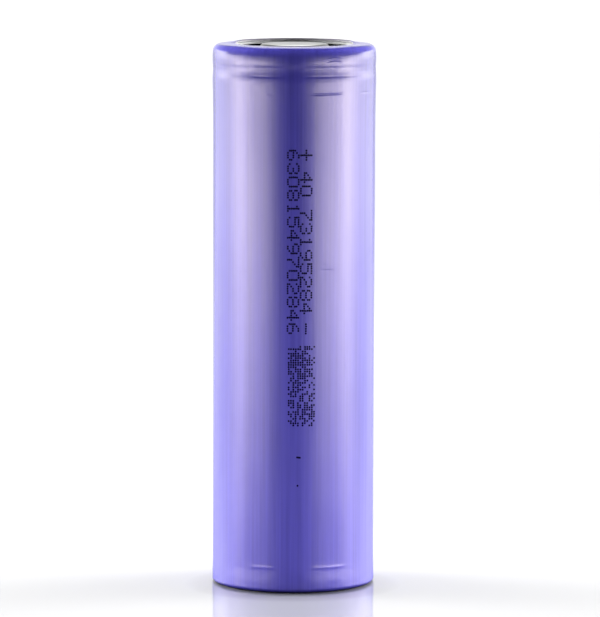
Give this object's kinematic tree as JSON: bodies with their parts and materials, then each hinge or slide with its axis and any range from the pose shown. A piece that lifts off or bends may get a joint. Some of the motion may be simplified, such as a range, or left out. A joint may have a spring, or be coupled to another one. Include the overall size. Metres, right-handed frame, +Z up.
{
  "type": "cylindrical battery cell",
  "caption": "Rechargeable cylindrical battery cell: a crimped steel can in a purple shrink sleeve, a raised positive cap with vents, and a wound electrode roll inside.",
  "frame": {"origin": "centre of the base, on the plane the cell stands on", "axes": "+Z up the cell's axis, towards the positive cap; the cap's vents lie on X and Y"},
  "size_m": [0.0212, 0.0212, 0.0706],
  "materials": {
    "sleeve_film": "glossy shrink film, tinted lilac purple",
    "washer_fibre": "pressed fibre board, white",
    "plated_steel": "nickel-plated steel, satin",
    "cap_steel": "nickel-plated steel, fine satin",
    "gasket_plastic": "natural polypropylene",
    "insulator_plastic": "natural polybutylene",
    "disc_fibre": "woven glass and resin, dark grey",
    "vent_aluminium": "pressed, plain",
    "foil_aluminium": "rolled foil, satin",
    "foil_copper": "rolled copper foil, satin",
    "lead_nickel": "nickel strip, satin",
    "positive_coating": "calendered metal-oxide coating",
    "negative_coating": "calendered graphite coating",
    "separator_film": "porous polyethylene film, white",
    "roll_tape": "polyester tape, green",
    "lead_tape": "polyimide tape, amber"
  },
  "bodies": {
    "root": {"heat_shrink_sleeve": "sleeve_film", "top_insulating_washer": "washer_fibre", "steel_can": "plated_steel", "sealing_gasket": "gasket_plastic", "positive_cap": "cap_steel", "safety_vent_disc": "vent_aluminium", "interrupt_insulator_ring": "insulator_plastic", "interrupt_plate": "vent_aluminium", "upper_insulator_disc": "disc_fibre", "lower_insulator_disc": "disc_fibre", "inner_separator": "separator_film", "positive_coating_inner": "positive_coating", "positive_foil": "foil_aluminium", "positive_coating_outer": "positive_coating", "outer_separator": "separator_film", "negative_coating_inner": "negative_coating", "negative_foil": "foil_copper", "negative_coating_outer": "negative_coating", "winding_end_tape": "roll_tape", "positive_lead": "foil_aluminium", "positive_lead_tape": "lead_tape", "negative_lead": "lead_nickel", "negative_lead_tape": "lead_tape"}
  },
  "joints": []
}
